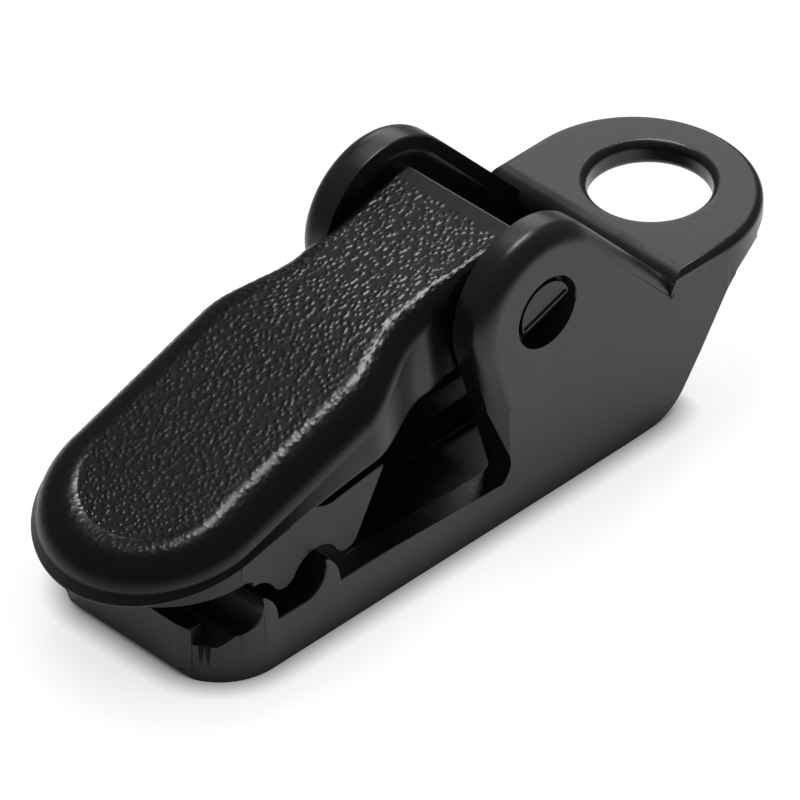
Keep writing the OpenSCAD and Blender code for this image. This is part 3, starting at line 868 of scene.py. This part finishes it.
class ClipStageOperator(bpy.types.Operator):
    """Sets up the camera, the lamps and the floor"""

    bl_idname = "clip.stage"
    bl_label = "Stage"

    def execute(self, context):
        scene, s = context.scene, context.scene.clip.stage
        scene.view_settings.view_transform = "Standard"
        aim = Vector(s.aim)
        back = Vector((math.sin(s.azimuth) * math.cos(s.elevation),
                       -math.cos(s.azimuth) * math.cos(s.elevation), math.sin(s.elevation)))
        clear_selection()
        bpy.ops.object.camera_add(location=aim + back * s.distance)
        camera = context.object
        camera.name = "photo_camera"
        camera.rotation_mode = "QUATERNION"
        camera.rotation_quaternion = (-back).to_track_quat("-Z", "Y")
        camera.data.lens = s.lens
        camera.data.sensor_width = 36
        camera.data.clip_start, camera.data.clip_end = 0.01, 50
        scene.camera = camera
        self.lamp(context, "overhead_strip", spot=(0.2, 0.28, 0.83), size=(0.45, 0.14),
                  power=s.overhead_power)
        self.lamp(context, "rear_box", spot=(0.66, 0.66, 0.45), size=(0.5, 0.5), power=s.rear_power)
        self.room(scene, s)
        clear_selection()
        bpy.ops.mesh.primitive_plane_add(size=s.floor_size, location=(0, 0, -FLOOR_DROP))
        floor = place(settle(context.object, "floor"))
        floor.data.materials.append(self.pale_floor())
        return {"FINISHED"}

    def lamp(self, context, name, spot, size, power):
        """A soft box that faces the clip."""
        clear_selection()
        bpy.ops.object.light_add(type="AREA", location=spot)
        lamp = context.object
        lamp.name = name
        lamp.data.shape = "RECTANGLE"
        lamp.data.size, lamp.data.size_y = size
        lamp.data.energy = power
        # The long side lies along the clip
        toward = (Vector(spot) - Vector(LAMP_AIM)).normalized()
        side = Vector((0, 1, 0)).cross(toward).normalized()
        turn = Matrix((side, toward.cross(side), toward)).transposed()
        lamp.rotation_mode = "QUATERNION"
        lamp.rotation_quaternion = turn.to_quaternion()

    def room(self, scene, s):
        """Even, dim light from the room."""
        world = bpy.data.worlds.new("room")
        scene.world = world
        world.use_nodes = True
        sky = world.node_tree.nodes["Background"]
        sky.inputs["Color"].default_value = (1, 1, 1, 1)
        sky.inputs["Strength"].default_value = s.room_level

    def pale_floor(self):
        """White paper that keeps a faint shadow."""
        material = bpy.data.materials.new("white_paper")
        material.use_nodes = True
        tree = material.node_tree
        tree.nodes.clear()
        link = tree.links.new
        out = node(tree, "ShaderNodeOutputMaterial")
        ray = node(tree, "ShaderNodeLightPath")
        camera_ray = ray.outputs["Is Camera Ray"]
        seen = reckon(tree, "MAXIMUM", camera_ray, ray.outputs["Is Glossy Ray"])
        shown = reckon(tree, "MAXIMUM", seen, ray.outputs["Is Transmission Ray"])
        paper = node(tree, "ShaderNodeBsdfDiffuse", in_Color=(0.8, 0.8, 0.8, 1))
        shade = node(tree, "ShaderNodeBsdfDiffuse", in_Color=(0.12, 0.12, 0.12, 1))
        wide = node(tree, "ShaderNodeAmbientOcclusion", samples=16, in_Distance=WIDE_REACH)
        close = node(tree, "ShaderNodeAmbientOcclusion", samples=16, in_Distance=CLOSE_REACH)
        # The wide shade is fainter to the camera than in reflections
        faint = node(tree, "ShaderNodeMapRange", in_To_Min=0, in_To_Max=WIDE_LIFT)
        lift = node(tree, "ShaderNodeMix", data_type="FLOAT")
        lift.inputs["B"].default_value = 1
        link(camera_ray, faint.inputs["Value"])
        link(faint.outputs["Result"], lift.inputs["Factor"])
        link(wide.outputs["AO"], lift.inputs["A"])
        deepen = reckon(tree, "POWER", close.outputs["AO"], CLOSE_POWER)
        dim = reckon(tree, "MULTIPLY", lift.outputs["Result"], deepen)
        # The paper is bright round the clip and dim beyond the picture
        where = node(tree, "ShaderNodeTexCoord")
        reach = node(tree, "ShaderNodeVectorMath", operation="DISTANCE")
        reach.inputs[1].default_value = PAPER_MIDDLE
        sheet = node(tree, "ShaderNodeMapRange", in_From_Min=0.05, in_From_Max=0.14,
                     in_To_Min=1, in_To_Max=0.15)
        link(where.outputs["Object"], reach.inputs[0])
        link(reach.outputs["Value"], sheet.inputs["Value"])
        white = reckon(tree, "MAXIMUM", sheet.outputs["Result"], camera_ray)
        level = reckon(tree, "MULTIPLY", dim, white)
        glow = node(tree, "ShaderNodeEmission", in_Color=(1, 1, 1, 1))
        link(level, glow.inputs["Strength"])
        both = node(tree, "ShaderNodeAddShader")
        mix = node(tree, "ShaderNodeMixShader")
        link(shade.outputs[0], both.inputs[0])
        link(glow.outputs[0], both.inputs[1])
        link(shown, mix.inputs["Fac"])
        link(paper.outputs[0], mix.inputs[1])
        link(both.outputs[0], mix.inputs[2])
        link(mix.outputs[0], out.inputs["Surface"])
        return material


class ClipPanel(bpy.types.Panel):
    """Lists the steps that dress the clip"""

    bl_idname = "VIEW3D_PT_tarp_clip"
    bl_label = "Tarp Clip"
    bl_space_type = "VIEW_3D"
    bl_region_type = "UI"
    bl_category = "Tarp Clip"

    def draw(self, context):
        for step in STEPS:
            self.layout.operator(step.bl_idname)


SETTINGS = (ClipShellSettings, ClipGrainSettings, ClipTeethSettings, ClipHubSettings,
            ClipBodySettings, ClipFinishSettings, ClipStageSettings, ClipSettings)
STEPS = (ClipStageOperator, ClipBodyOperator, ClipShellOperator, ClipTeethOperator, ClipHubOperator)


def register():
    for made in SETTINGS + STEPS + (ClipPanel,):
        bpy.utils.register_class(made)
    bpy.types.Scene.clip = PointerProperty(type=ClipSettings)


def unregister():
    del bpy.types.Scene.clip
    for made in reversed(SETTINGS + STEPS + (ClipPanel,)):
        bpy.utils.unregister_class(made)


def main():
    register()
    bpy.ops.clip.stage()
    bpy.ops.clip.body()
    bpy.ops.clip.shell()
    bpy.ops.clip.teeth()
    bpy.ops.clip.hub()


if __name__ == "__main__":
    main()
